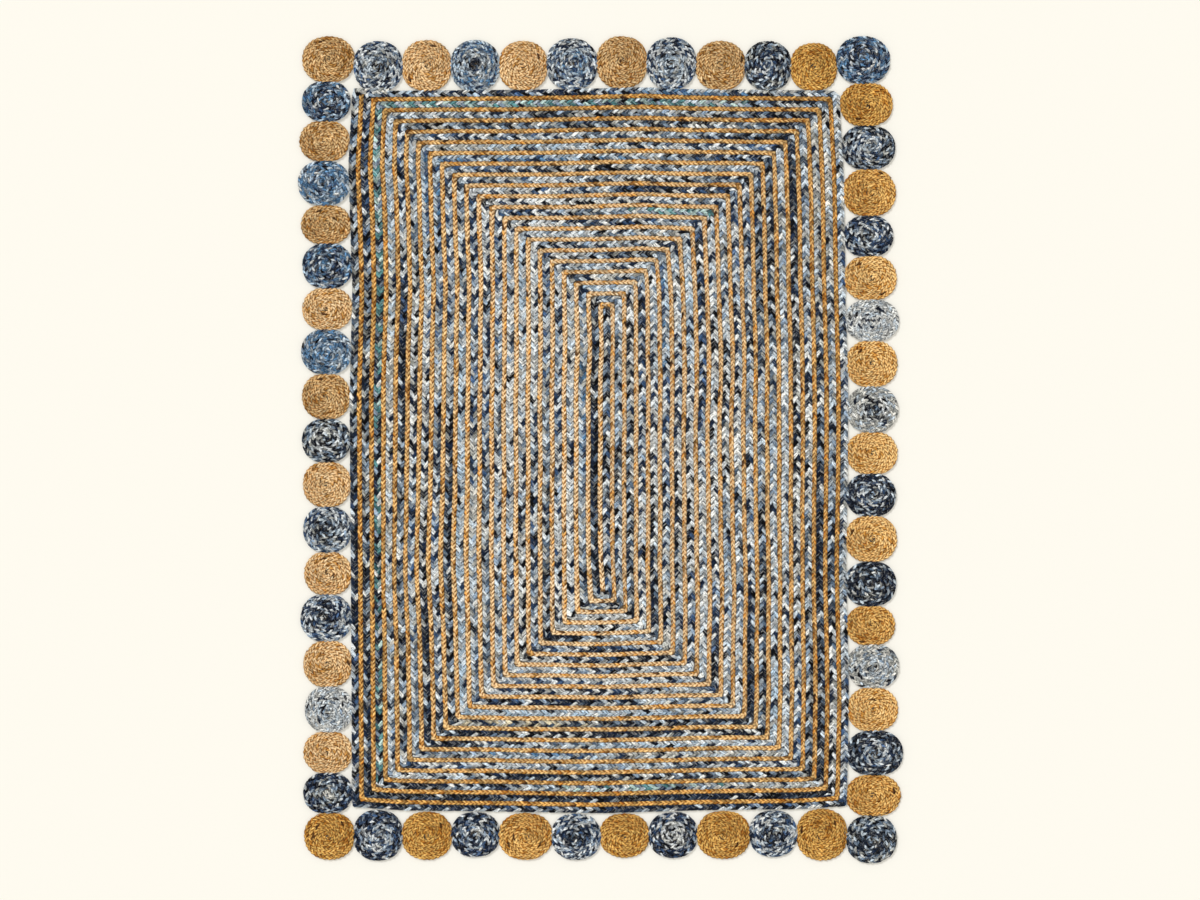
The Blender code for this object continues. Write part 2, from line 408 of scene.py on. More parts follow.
JUTE = {
    **DENIM, "Stitch": 0.0116, "Half Width": 0.0059, "Reach": 0.85, "Middle Height": 0.0046,
    "Rise": 0.0021, "Lean": 0.0008, "Overlap": 1.32, "Taper": 0.35, "Section Points": 3, "Drift": 0.0040,
}
STRANDS = 3
HALF_SWING = STRANDS / 2  # stitches, because each strand shows once on the top in a whole swing
FLOOR_GAP = 0.0002  # the lowest that any part of a plait comes


def ring_spacing(sizes):
    """How far apart two rings of a strand are along the plait."""
    return HALF_SWING * sizes["Stitch"] / sizes["Rings"]


for kind, sizes in (("denim", DENIM), ("jute", JUTE)):
    print(f"the rings of a {kind} strand are {ring_spacing(sizes) * 1000:.1f} mm apart")

# %% [markdown]
# ## Plaiting with Geometry Nodes
#
# The tree draws the three strands as straight tubes first, with a number on each ring and on each point
# round it. From these numbers it works out for every corner how far along the plait, how far out and
# how high it lies, and reads the plait's middle line at that length. The tubes could be swept along
# ready-made wavy curves instead, but then a stitch at a corner of the rug would be cut off square. This
# way it bends round the corner with the plait.

# %% A tree with named sizes
plaiting = bpy.data.node_groups.new("three_strand_plait", "GeometryNodeTree")
plaiting.interface.new_socket("Path", in_out="INPUT", socket_type="NodeSocketGeometry")
for name, value in {**DENIM, "First Ring": 0, "Ring Count": 100, "Seed": 1}.items():
    kind = "NodeSocketInt" if isinstance(value, int) else "NodeSocketFloat"
    plaiting.interface.new_socket(name, in_out="INPUT", socket_type=kind).default_value = value
plaiting.interface.new_socket("Material", in_out="INPUT", socket_type="NodeSocketMaterial")
plaiting.interface.new_socket("Plait", in_out="OUTPUT", socket_type="NodeSocketGeometry")
given = plaiting.nodes.new("NodeGroupInput").outputs
step = partial(add, plaiting)
MATH = "ShaderNodeMath"
VECTOR_MATH = "ShaderNodeVectorMath"
NAMED = "GeometryNodeInputNamedAttribute"
KEEP = "GeometryNodeStoreNamedAttribute"
print(len(plaiting.interface.items_tree), "sockets")

# %% The section of a strand, and three straight strands
SQUARE_POINTS = 4.0
NEARLY = 0.1  # close enough to count as the same number
ANY_GROWS = 1.155  # grown by this, a triangle reaches 1 out to either side
SQUARE_GROWS = 0.26  # and a square, which lies on one of its flat sides, needs so much more
RING_STEP = (0.01, 0, 0)  # any step will do, because every ring is moved later

is_square = step(MATH, (given["Section Points"], SQUARE_POINTS, NEARLY), operation="COMPARE")
turned = step(MATH, (is_square, -tau / 8, tau / 4), operation="MULTIPLY_ADD")
turn = step("ShaderNodeCombineXYZ", {"Z": turned})
grow = step(MATH, (is_square, SQUARE_GROWS, ANY_GROWS), operation="MULTIPLY_ADD")
circle = step("GeometryNodeCurvePrimitiveCircle", {"Resolution": given["Section Points"], "Radius": 1.0})
section = step("GeometryNodeTransform", {"Geometry": circle, "Rotation": turn})
section = step(KEEP, {"Geometry": section, "Name": "section", "Value": step("GeometryNodeInputPosition")},
               data_type="FLOAT_VECTOR", domain="POINT")

straight = step("GeometryNodeJoinGeometry")
for number in range(STRANDS):
    late = step(MATH, (given["Rings"], number * 2 / STRANDS), operation="MULTIPLY")
    first = step(MATH, (given["First Ring"], step(MATH, (late,), operation="CEIL")), operation="ADD")
    ring = step(MATH, (step("GeometryNodeInputIndex"), first), operation="ADD")
    points = step("GeometryNodeMeshLine", {"Count": given["Ring Count"], "Offset": RING_STEP},
                  mode="OFFSET")
    for name, value in (("ring", ring), ("strand", float(number))):
        points = step(KEEP, {"Geometry": points, "Name": name, "Value": value},
                      data_type="FLOAT", domain="POINT")
    core = step("GeometryNodeMeshToCurve", {"Mesh": points})
    tube = step("GeometryNodeCurveToMesh", {"Curve": core, "Profile Curve": section, "Fill Caps": True})
    plaiting.links.new(tube, straight.node.inputs[0])
print(len(plaiting.nodes), "nodes for the straight strands")

# %% Where a ring is in its swing, and where a corner is on its ring
AT_FOLD = 0.01  # of the half swing

ring = step(NAMED, {"Name": "ring"}, data_type="FLOAT")
strand = step(NAMED, {"Name": "strand"}, data_type="FLOAT")
swings = step(MATH, (ring, given["Rings"]), operation="DIVIDE")
share = step(MATH, (swings,), operation="FRACT")
odd = step(MATH, (step(MATH, (swings,), operation="FLOOR"), 2.0), operation="MODULO")
side = step(MATH, (odd, -2.0, 1.0), operation="MULTIPLY_ADD")
at_fold = step(MATH, (share, AT_FOLD), operation="LESS_THAN")

corner = step("ShaderNodeSeparateXYZ", (step(NAMED, {"Name": "section"}, data_type="FLOAT_VECTOR"),))
wide = step(MATH, (corner.node.outputs["X"], grow), operation="MULTIPLY")
thick = step(MATH, (corner.node.outputs["Y"], grow), operation="MULTIPLY")
thick = step(MATH, (thick, 1.0), operation="MINIMUM")
thick = step(MATH, (thick, -1.0), operation="MAXIMUM")
# shown is 1 on the face of the strand that is seen, and -1 on the face underneath
shown = step(MATH, (thick, side), operation="MULTIPLY")
shown = step(MATH, (shown, step(MATH, (at_fold, 2.0, -1.0), operation="MULTIPLY_ADD")), operation="MULTIPLY")
print(len(plaiting.nodes), "nodes so far")

# %% A number for each stitch, and chance
STRAND_STRIDE = 20000.0  # keeps the stitch numbers of the three strands apart
UNEVEN = {
    # a number that sets each apart from the others, and the least and the most that chance adds to it
    "width": (3, -1.0, 0.8),
    "ahead": (5, -0.5, 0.5),
    "out": (7, -0.5, 0.3),
    "height": (9, -1.6, 1.6),
    "lean": (11, -3.0, 3.0),
}

stitch = step(MATH, (step(MATH, (ring, 1.0), operation="SUBTRACT"), given["Rings"]), operation="DIVIDE")
stitch = step(MATH, (stitch,), operation="FLOOR")
stitch = step(MATH, (strand, STRAND_STRIDE, stitch), operation="MULTIPLY_ADD")


def chance(kind):
    """A random number for each stitch, scaled by the plait's unevenness."""
    apart, low, high = UNEVEN[kind]
    seed = step(MATH, (given["Seed"], apart), operation="ADD")
    found = step("FunctionNodeRandomValue", {"Min": low, "Max": high, "ID": stitch, "Seed": seed}, "Value",
                 data_type="FLOAT")
    return step(MATH, (found, given["Unevenness"]), operation="MULTIPLY")


def way(column):
    """One column of the strand's way, read at the share of the half swing."""
    value = step("ShaderNodeFloatCurve", {"Value": share})
    mapping = value.node.mapping
    mapping.use_clip = False
    points = mapping.curves[0].points
    while len(points) < len(STRAND_WAY["share"]):
        points.new(0.5, 0.5)
    for point, *spot in zip(points, STRAND_WAY["share"], STRAND_WAY[column]):
        point.location = spot
        point.handle_type = "VECTOR"
    mapping.update()
    return value


print(len(plaiting.nodes), "nodes so far")

# %% How far along the plait
SLOW_PULL = 6.1  # the maker's uneven pull is two waves, and each number is how fast one turns
QUICK_PULL = 17.0

spacing = step(MATH, (given["Stitch"], HALF_SWING), operation="MULTIPLY")
spacing = step(MATH, (spacing, given["Rings"]), operation="DIVIDE")
late = step(MATH, (given["Rings"], step(MATH, (strand, 2 / STRANDS), operation="MULTIPLY")),
            operation="MULTIPLY")
bare = step(MATH, (shown, 0.5, 0.5), operation="MULTIPLY_ADD")
narrower = step(MATH, (bare, step(MATH, (given["Taper"], -1.0), operation="MULTIPLY"), 1.0),
                operation="MULTIPLY_ADD")
full_width = step(MATH, (given["Overlap"], way("width")), operation="MULTIPLY")
uneven_width = step(MATH, (full_width, step(MATH, (1.0, chance("width")), operation="ADD")),
                    operation="MULTIPLY")
half_strip = step(MATH, (step(MATH, (given["Stitch"], 0.5), operation="MULTIPLY"), uneven_width),
                  operation="MULTIPLY")
along = step(MATH, (step(MATH, (wide, narrower), operation="MULTIPLY"), half_strip), operation="MULTIPLY")
ahead = step(MATH, (way("ahead"), chance("ahead")), operation="ADD")
along = step(MATH, (along, step(MATH, (given["Stitch"], ahead), operation="MULTIPLY")), operation="ADD")
along = step(MATH, (step(MATH, (ring, late), operation="SUBTRACT"), spacing, along),
             operation="MULTIPLY_ADD")
slow, quick = (step(MATH, (step(MATH, (along, pull), operation="MULTIPLY"),), operation="SINE")
               for pull in (SLOW_PULL, QUICK_PULL))
along = step(MATH, (step(MATH, (slow, quick), operation="ADD"), given["Drift"], along),
             operation="MULTIPLY_ADD")
print(len(plaiting.nodes), "nodes so far")

# %% How far out and how high
FOLD_OUT = 0.7  # of half the strand's thickness, by which it stands out where it folds
FOLD_FLAT = 0.3  # of the same, by which it is flatter there

half_thick = step(MATH, (given["Thickness"], 0.5), operation="MULTIPLY")
out = step(MATH, (step(MATH, (way("out"), side), operation="MULTIPLY"), given["Reach"]),
           operation="MULTIPLY")
out = step(MATH, (out, step(MATH, (1.0, chance("out")), operation="ADD")), operation="MULTIPLY")
outward = step(MATH, (step(MATH, (thick, at_fold), operation="MULTIPLY"),
                      step(MATH, (half_thick, FOLD_OUT), operation="MULTIPLY")), operation="MULTIPLY")
out = step(MATH, (out, step(MATH, (outward, given["Half Width"]), operation="DIVIDE")), operation="ADD")

rise = step(MATH, (way("height"), chance("height")), operation="ADD")
height = step(MATH, (rise, given["Rise"], given["Middle Height"]), operation="MULTIPLY_ADD")
upward = step(MATH, (shown, step(MATH, (at_fold, -FOLD_FLAT, 1.0), operation="MULTIPLY_ADD")),
              operation="MULTIPLY")
height = step(MATH, (upward, half_thick, height), operation="MULTIPLY_ADD")
lean = step(MATH, (given["Lean"], step(MATH, (1.0, chance("lean")), operation="ADD")),
            operation="MULTIPLY")
height = step(MATH, (wide, lean, height), operation="MULTIPLY_ADD")
# A strand that would dip into the floor is pressed flat on it, as the rug's own weight does.
height = step(MATH, (height, FLOOR_GAP), operation="MAXIMUM")
print(len(plaiting.nodes), "nodes so far")

# %% From the straight strands to the plait
path_line = step("GeometryNodeMeshToCurve", {"Mesh": given["Path"]})
across = step(NAMED, {"Name": "across"}, data_type="FLOAT_VECTOR")
read = step("GeometryNodeSampleCurve", {"Curves": path_line, "Value": across, "Length": along},
            data_type="FLOAT_VECTOR", mode="LENGTH", use_all_curves=True)
read = read.node.outputs
aside = step(VECTOR_MATH, {0: read["Value"], "Scale": out}, operation="SCALE")
place = step(VECTOR_MATH, (read["Position"], aside), operation="ADD")
place = step(VECTOR_MATH, (place, step("ShaderNodeCombineXYZ", {"Z": height})), operation="ADD")

plaited = step(KEEP, {"Geometry": straight, "Name": "wide", "Value": wide}, data_type="FLOAT",
               domain="POINT")
plaited = step("GeometryNodeSetPosition", {"Geometry": plaited, "Position": place})
# folded denim keeps flat faces, yarn is round
is_round = step(MATH, (1.0, is_square), operation="SUBTRACT")
plaited = step("GeometryNodeSetShadeSmooth", {"Geometry": plaited, "Shade Smooth": is_round})
plaited = step("GeometryNodeRealizeInstances", {"Geometry": plaited})
plaited = step("GeometryNodeSetMaterial", {"Geometry": plaited, "Material": given["Material"]})
plaiting.links.new(plaited, plaiting.nodes.new("NodeGroupOutput").inputs["Plait"])
print(len(plaiting.nodes), "nodes and", len(plaiting.links), "links make a plait")

# %% [markdown]
# ## Running the tree
#
# The tree reads the plait's middle line from a mesh of points and edges, which also carries, at each
# point, the way to the plait's outer edge. A curve object could carry the line but not that second
# value. The result is copied to a plain mesh, because only plain meshes go into the shared model.

# %% A path, and a plait along it
def path_object(name, route):
    """A line down the middle of a plait, which remembers at each point where its outer edge is."""
    mesh = bpy.data.meshes.new(name)
    middle = (route.outer + route.inner) / 2
    count = len(middle)
    mesh.from_pydata([(x, y, 0) for x, y in middle], [(i, i + 1) for i in range(count - 1)], [])
    to_edge = mesh.attributes.new("across", "FLOAT_VECTOR", "POINT")
    flat = np.column_stack([(route.outer - route.inner) / 2, np.zeros(count)])
    to_edge.data.foreach_set("vector", flat.ravel())
    return new_object(name, mesh)


def plait(path, name, inputs):
    """Runs the plaiting tree along a path and returns the result as a plain mesh object."""
    modifier = path.modifiers.new("plait", "NODES")
    modifier.node_group = plaiting
    for socket in plaiting.interface.items_tree:
        if socket.name in inputs:
            modifier[socket.identifier] = inputs[socket.name]
    graph = bpy.context.evaluated_depsgraph_get()
    mesh = bpy.data.meshes.new_from_object(path.evaluated_get(graph), preserve_all_data_layers=True,
                                           depsgraph=graph)
    mesh.name = name
    path.modifiers.remove(modifier)
    return new_object(name, mesh)


def triangles(thing):
    """How many triangles a mesh object comes to."""
    return sum(len(face.vertices) - 2 for face in thing.data.polygons)


trial_path = path_object("trial_path", denim_route)
trial = plait(trial_path, "trial", {**DENIM, "Ring Count": 9})
print("nine rings of the denim plait come to", triangles(trial), "triangles")

# %% [markdown]
# ## Unrolling the strands
#
# The render colours the plaits from values stored on their faces and points. When those colours are
# baked into a picture, no two faces may lie on the same place of it. A general unwrapping is slow on so
# many faces. But a strand is a plain tube, so it can be slit open and rolled flat by arithmetic, and cut
# into rows that fill a square.

# %% Values of corners and faces
def point_values(mesh, name, width=1):
    """A stored number or vector, point by point."""
    values = np.zeros(len(mesh.vertices) * width, np.float32)
    mesh.attributes[name].data.foreach_get("value" if width == 1 else "vector", values)
    return values


def face_corners(mesh):
    """The point at each corner of each face, one face after the other, and where each face starts."""
    corners = np.zeros(len(mesh.loops), np.int32)
    mesh.loops.foreach_get("vertex_index", corners)
    starts = np.zeros(len(mesh.polygons), np.int32)
    mesh.polygons.foreach_get("loop_start", starts)
    return corners, starts


def face_values(mesh, name):
    """A stored number's lowest value over the corners of each face."""
    corners, starts = face_corners(mesh)
    return np.minimum.reduceat(point_values(mesh, name)[corners], starts)


trial_corners, trial_starts = face_corners(trial.data)
print("those rings have", len(trial_starts), "faces with", len(trial_corners), "corners")
for thing in (trial, trial_path):
    bpy.data.objects.remove(thing)

# %% A UV map for a plait
CELL_MARGIN = 0.04  # of a cell, left free above and below a strip
CELL_STRETCH = 1.3  # how much wider than true to size the cells are counted, for the margins
END_SIZE = 0.35  # half the size of a strand's flat end, in cells


def unroll(made, sizes):
    """Gives a plait its own UV map. Each ring of each strand gets a cell, and so does each flat end."""
    mesh = made.data
    ring, strand = point_values(mesh, "ring"), np.round(point_values(mesh, "strand")).astype(int)
    section = point_values(mesh, "section", 3).reshape(-1, 3)
    for number in range(STRANDS):
        ring[strand == number] -= ring[strand == number].min()
    ring = np.round(ring).astype(int)
    rings = ring.max() + 1
    points = sizes["Section Points"]
    degrees = np.round(np.degrees(np.arctan2(section[:, 1], section[:, 0]))).astype(int)
    _, first_seen, around = np.unique(degrees, return_index=True, return_inverse=True)
    outline = section[first_seen][:, :2] * (sizes["Stitch"] * sizes["Overlap"] / 2, sizes["Thickness"] / 2)
    sides = np.linalg.norm(np.roll(outline, -1, axis=0) - outline, axis=1)
    girth = sides.sum()
    reached = np.concatenate([[0], np.cumsum(sides)]) / girth

    corners, starts = face_corners(mesh)
    totals = np.diff(np.append(starts, len(corners)))
    lowest = np.repeat(np.minimum.reduceat(ring[corners], starts), totals)
    highest = np.repeat(np.maximum.reduceat(ring[corners], starts), totals)
    spans = np.maximum.reduceat(around[corners], starts) - np.minimum.reduceat(around[corners], starts)
    closes = np.repeat(spans == points - 1, totals)  # the last face round a ring
    is_end = lowest == highest
    cells = STRANDS * (rings + 1)
    cell = strand[corners] * (rings + 1) + np.where(is_end, np.where(lowest == 0, 0, rings), lowest + 1)
    rows = max(1, round((cells * CELL_STRETCH * ring_spacing(sizes) / girth) ** 0.5))
    columns = ceil(cells / rows)
    along = np.where(is_end, 0.5 + END_SIZE * section[corners, 0], ring[corners] - lowest)
    across = reached[np.where(closes & (around[corners] == 0), points, around[corners])]
    across = CELL_MARGIN + (1 - 2 * CELL_MARGIN) * across
    across = np.where(is_end, 0.5 + END_SIZE * section[corners, 1], across)
    uv = np.stack([(cell % columns + along) / columns, (cell // columns + across) / rows], axis=1)
    layer = mesh.uv_layers.new(name="OFBake")
    layer.data.foreach_set("uv", uv.astype(np.float32).ravel())


print("a strip fills", 1 - 2 * CELL_MARGIN, "of its cell's height")

# %% [markdown]
# ## Dyeing the strips
#
# A maker tears whatever clothes there are, so the colour of a denim plait changes every metre or so,
# and its three strands seldom match. Some strips show the blue face on one side of the plait and the
# pale back on the other. Colours drawn only by chance would lose the rug's own pattern, so each mix
# below names the three strips that run together, and a chart says which mixes follow each other along
# each row. Chance then only varies the stitches.

# %% Strips and mixes
STRIPS = {
    "ink": "#0B0D13", "navy": "#1D2A40", "indigo": "#3A5274", "blue": "#587FA4",
    "sky": "#ABC0D2", "mist": "#BFCCD7", "ice": "#DAE0E4", "white": "#E5E7E5",
    "cloud": "#D8D7D1", "ash": "#A9ABA7", "slate": "#4C5C6E", "steel": "#8092A6",
    "coal": "#1D2430", "teal": "#548286", "sage": "#AEC7C4", "sand": "#C6BCA2",
}
MIXES = {
    # the two sides of the plait for each of its three strands
    "w": ("white ice", "ice white", "mist white"),
    "p": ("ice mist", "white ice", "mist steel"),
    "f": ("white ice", "ice white", "navy mist"),
    "s": ("sky mist", "ice sky", "mist sky"),
    "b": ("blue mist", "steel sky", "indigo mist"),
    "n": ("navy steel", "mist ice", "ice indigo"),
    "j": ("ink navy", "indigo ice", "steel navy"),
    "m": ("steel mist", "mist ash", "slate ice"),
    "k": ("ink ash", "white ice", "coal ice"),
    "g": ("ash cloud", "mist ash", "cloud mist"),
    "l": ("ink slate", "steel ash", "mist coal"),
    "d": ("ink coal", "navy slate", "coal mist"),
    "x": ("ink coal", "ink navy", "coal slate"),
    "t": ("teal sage", "sage mist", "steel teal"),
    "e": ("teal coal", "ink teal", "sage steel"),
    "q": ("sand ash", "coal sand", "ash slate"),
    "u": ("blue navy", "steel blue", "indigo sky"),
    "v": ("blue sky", "steel blue", "blue mist"),
    "a": ("navy ink", "sky ice", "steel mist"),
}
MIX_ORDER = "".join(MIXES)
MIX_COLOURS = np.array([
    [[linear(STRIPS[strip]) for strip in pair.split()] for pair in mix] for mix in MIXES.values()
])


def mix_numbers(letters):
    """The numbers of the mixes that a row of letters stands for."""
    return [MIX_ORDER.index(letter) for letter in letters]


print(len(STRIPS), "kinds of strip in", len(MIXES), "mixes")

# %% A colour for each stitch
BRIGHTEST = 0.76  # no cloth reflects more
ODD_STITCHES = [(0.00, 0.05, "navy"), (0.05, 0.08, "ink"), (0.08, 0.10, "coal"), (0.10, 0.15, "white")]
TURNED_OVER = 0.15  # of all denim stitches, which show the strip's other side
DENIM_TONES = 0.25  # how much the tone varies from stitch to stitch


def stitches_of(mesh, sizes, route):
    """For every face its strand, its stitch, its place on the route, and its stitch's own number.

    A stitch ends just after its strand has folded over.
    """
    ring, strand = (face_values(mesh, name) for name in ("ring", "strand"))
    strand = strand.astype(int)
    stitch = np.floor((ring - 1) / sizes["Rings"]).astype(int)
    along = (ring - strand * sizes["Rings"] * 2 / STRANDS) * ring_spacing(sizes)
    place = np.interp(along, lengths_of(route), route.place)
    _, which = np.unique(stitch * STRANDS + strand, return_inverse=True)
    return strand, stitch, place, which


def paint_faces(mesh, colours):
    """Stores a colour for each face. One that came out too bright is dimmed, so that its hue stays."""
    colours[:, :3] *= np.minimum(1, BRIGHTEST / colours[:, :3].max(axis=1))[:, None]
    layer = mesh.attributes.new("cloth", "FLOAT_COLOR", "FACE")
    layer.data.foreach_set("color", np.asarray(colours, np.float32).ravel())


def dye(made, sizes, route, mix_at, odd, seed):
    """Gives every stitch its strip's colour. mix_at gives the mix at a place, for each strand.

    Some stitches come from another strip, where the maker joined a new one on. A smaller odd makes
    these rarer.
    """
    strand, stitch, place, which = stitches_of(made.data, sizes, route)
    chance = np.random.default_rng(seed)
    count = which.max() + 1
    side = (stitch + (chance.random(count) < TURNED_OVER)[which]) % 2
    colours = MIX_COLOURS[mix_at(place, strand), strand, side].copy()
    tone = np.exp(chance.normal(0, DENIM_TONES, count))
    pick = chance.random(count) / odd
    for low, high, strip in ODD_STITCHES:
        colours[((pick >= low) & (pick < high))[which]] = linear(STRIPS[strip])
    colours[:, :3] *= tone[which][:, None]
    paint_faces(made.data, colours)


print(f"{ODD_STITCHES[-1][1]:.0%} of the field's denim stitches come from another strip")

# %% [markdown]
# ## The cloth of the strips
#
# Torn denim and cotton are matt, with hardly any gloss. A strip is folded in on itself as it is
# plaited, so each stitch has a few creases that run along the strand, and their light and shade is
# painted in. Pale torn threads lie on it here and there. The hollows between strands get painted shade.
#
# A weave could be an image, but noise that is drawn out along the strand gives creases that follow
# every stitch round every corner. It reads the numbers that the plaiting tree stored.

# %% Streaks along a strand, and painted shade at the seams of a coil
STRAND_SHIFT = 31.7  # keeps the streaks of the three strands apart
# The seams of a coil get painted shade, which darkens both edges of its plait.
DISC_RINGS = 3  # rings to half a swing in the discs, which are the only plaits with dark seams
SEAM_FROM = 0.70  # of the way out to the plait's edge


def streaks(tree, across, along, detail, shift):
    """Noise that is drawn out along the strand.

    Across and along say how many streaks there are to half its width and to one ring.
    """
    section = add(tree, "ShaderNodeAttribute", output="Vector", attribute_name="section")
    ring, strand = (add(tree, "ShaderNodeAttribute", output="Fac", attribute_name=name)
                    for name in ("ring", "strand"))
    corner = add(tree, "ShaderNodeSeparateXYZ", (section,)).node.outputs
    spot = add(tree, "ShaderNodeCombineXYZ", (corner["X"], corner["Y"], ring))
    spot = add(tree, VECTOR_MATH, (spot, (across, across, along)), operation="MULTIPLY")
    depth = add(tree, MATH, (strand, STRAND_SHIFT, shift), operation="MULTIPLY_ADD")
    return add(tree, "ShaderNodeTexNoise", {"Vector": spot, "W": depth, "Scale": 1.0, "Detail": detail},
               "Fac", noise_dimensions="4D")


def seam_painted_shade(tree, shade):
    """Painted shade on both edges of a coiled plait, where its turns are sewn together."""
    ring = add(tree, "ShaderNodeAttribute", output="Fac", attribute_name="ring")
    turned = add(tree, MATH, (ring, pi / DISC_RINGS), operation="MULTIPLY")
    swing = add(tree, MATH, (turned,), operation="COSINE")
    out = add(tree, MATH, (swing,), operation="ABSOLUTE")
    return add(tree, "ShaderNodeMapRange", (out, SEAM_FROM, 1.0, 1.0, shade))


print("a coiled plait turns dark from", SEAM_FROM, "of the way to its edge")

# %% Torn denim
WEAVE_GRAIN = 0.0030  # real threads lie 0.5 mm apart, which is too fine to show, so they are coarser
FOLDS = (1.1, 0.35, 0.0, 3.1)  # how many across and along, how detailed, and a shift of their own
CREASES = (2.4, 0.55, 1.0, 0.0)
THREADS = (4.5, 0.35, 0.0, 7.3)
TORN_THREAD = "#DCDDDB"
# The deep navy that painted shade mixes the colour towards
DENIM_PAINTED_SHADOW_COLOUR = "#101A30"
# Each of these stretches a pattern to shades: two values of the pattern, and the shades they get.
# The folds and creases get painted light and shade, and the weave the cloth's own mottle.
FOLD_PAINTED_LIGHT_AND_SHADE = (0.42, 0.48, 0.60, 1.10)
CREASE_PAINTED_LIGHT_AND_SHADE = (0.42, 0.52, 0.58, 1.15)
WEAVE_SHADES = (0.42, 0.58, 0.74, 1.22)
THREAD_SHARES = (0.63, 0.67, 0.0, 0.38)
# Painted shade, deepest at the first value and gone at the second:
DENIM_COVERED_SIDE_PAINTED_SHADE = (-0.85, -0.45, 0.0, 1.0)  # the side of a strand that the next one covers is dark
DENIM_LOW_PAINTED_SHADE = (0.0035, 0.0060, 0.16, 1.0)  # and so is all that lies low, in metres


def denim_material(name, seam_shade):
    """Torn denim and cotton strips, folded in as they were plaited. Matt, with pale threads on top."""
    # Painted light and shade on folds and creases; painted shade on seams, covered sides and low parts
    material, tree, shader = new_material(name, Roughness=0.92, Specular_IOR_Level=0.12)
    colour = add(tree, "ShaderNodeAttribute", output="Color", attribute_name="cloth")
    wide = add(tree, "ShaderNodeAttribute", output="Fac", attribute_name="wide")
    where = add(tree, "ShaderNodeTexCoord", output="Object")
    height = add(tree, "ShaderNodeSeparateXYZ", (where,), "Z")
    weave = add(tree, "ShaderNodeTexNoise", {"Vector": where, "Scale": 1 / WEAVE_GRAIN, "Detail": 1.0},
                "Fac")
    folds = streaks(tree, *FOLDS)
    creases = streaks(tree, *CREASES)
    threads = streaks(tree, *THREADS)
    for pattern, shades in ((folds, FOLD_PAINTED_LIGHT_AND_SHADE), (creases, CREASE_PAINTED_LIGHT_AND_SHADE), (weave, WEAVE_SHADES)):
        shade = add(tree, "ShaderNodeMapRange", (pattern, *shades))
        colour = add(tree, VECTOR_MATH, {0: colour, "Scale": shade}, operation="SCALE")
    pale = add(tree, "ShaderNodeMapRange", (threads, *THREAD_SHARES))
    colour = add(tree, "ShaderNodeMix", {"Factor": pale, "A": colour, "B": linear(TORN_THREAD)}, "Result",
                 data_type="RGBA")
    # Painted shade: the seams, the covered side of each strand and all that lies low go towards deep navy.
    lit = seam_painted_shade(tree, seam_shade)
    for value, light in ((wide, DENIM_COVERED_SIDE_PAINTED_SHADE), (height, DENIM_LOW_PAINTED_SHADE)):
        part = add(tree, "ShaderNodeMapRange", (value, *light))
        lit = add(tree, MATH, (lit, part), operation="MULTIPLY")
    colour = add(tree, "ShaderNodeMix", {"Factor": lit, "A": linear(DENIM_PAINTED_SHADOW_COLOUR), "B": colour}, "Result",
                 data_type="RGBA")
    tree.links.new(colour, shader.inputs["Base Color"])
    bump = add(tree, "ShaderNodeBump", {"Height": creases, "Strength": 0.6, "Distance": 0.0015})
    tree.links.new(bump, shader.inputs["Normal"])
    return material


denim_cloth = denim_material("torn_denim_strips", 1.0)
# The coiled copy gets painted shade at its seams, and the field's gets none.
denim_disc_cloth = denim_material("torn_denim_strips_coiled", 0.80)
print(len(denim_cloth.node_tree.nodes), "nodes make the denim")

# %% [markdown]
# ## Jute yarn
#
# Jute is a coarse golden bast fibre, spun and left undyed. It has a slight silky sheen on top of each
# turn. Its light and shade are painted into the yarn's colour: the top of a turn is pale, as lit, and
# its covered side a deep caramel, as light that comes back from between the fibres is. One colour with
# painted darker hollows would look like brown paper, so the yarn runs between a deep and a pale tint of
# its own colour instead.

# %% Undyed jute
FIBRE_GRAIN = 0.0026  # real fibres are about ten times finer, which is too fine to show
FIBRES = (1.8, 0.40, 1.0, 0.0)
# Tints of the yarn: deep for dark fibres and painted shade, pale for pale fibres and painted light
DARK_FIBRE_AND_SHADE_TINT = (0.74, 0.54, 0.35)
PALE_FIBRE_AND_LIGHT_TINT = (1.33, 1.55, 1.88)
# Two values of a pattern, and how pale the yarn is at them. The three are added up.
FIBRE_LIGHT = (0.42, 0.57, 0.0, 0.48)
SPECK_LIGHT = (0.41, 0.59, 0.0, 0.22)
# Painted light across each turn: deep on the side that the next stitch covers, pale on the other
TURN_PAINTED_LIGHT = (-0.45, 0.45, -0.50, 0.46)
# Painted shade on the covered side of a strand and on all that lies low, and painted light on its top:
JUTE_SIDES = (-0.50, 0.05)  # from the covered side of a strand to its middle
JUTE_MIDDLE_PAINTED_LIGHT = 1.05
JUTE_HEIGHTS = (0.0032, 0.0060)  # metres
JUTE_TOP_PAINTED_LIGHT = 1.08


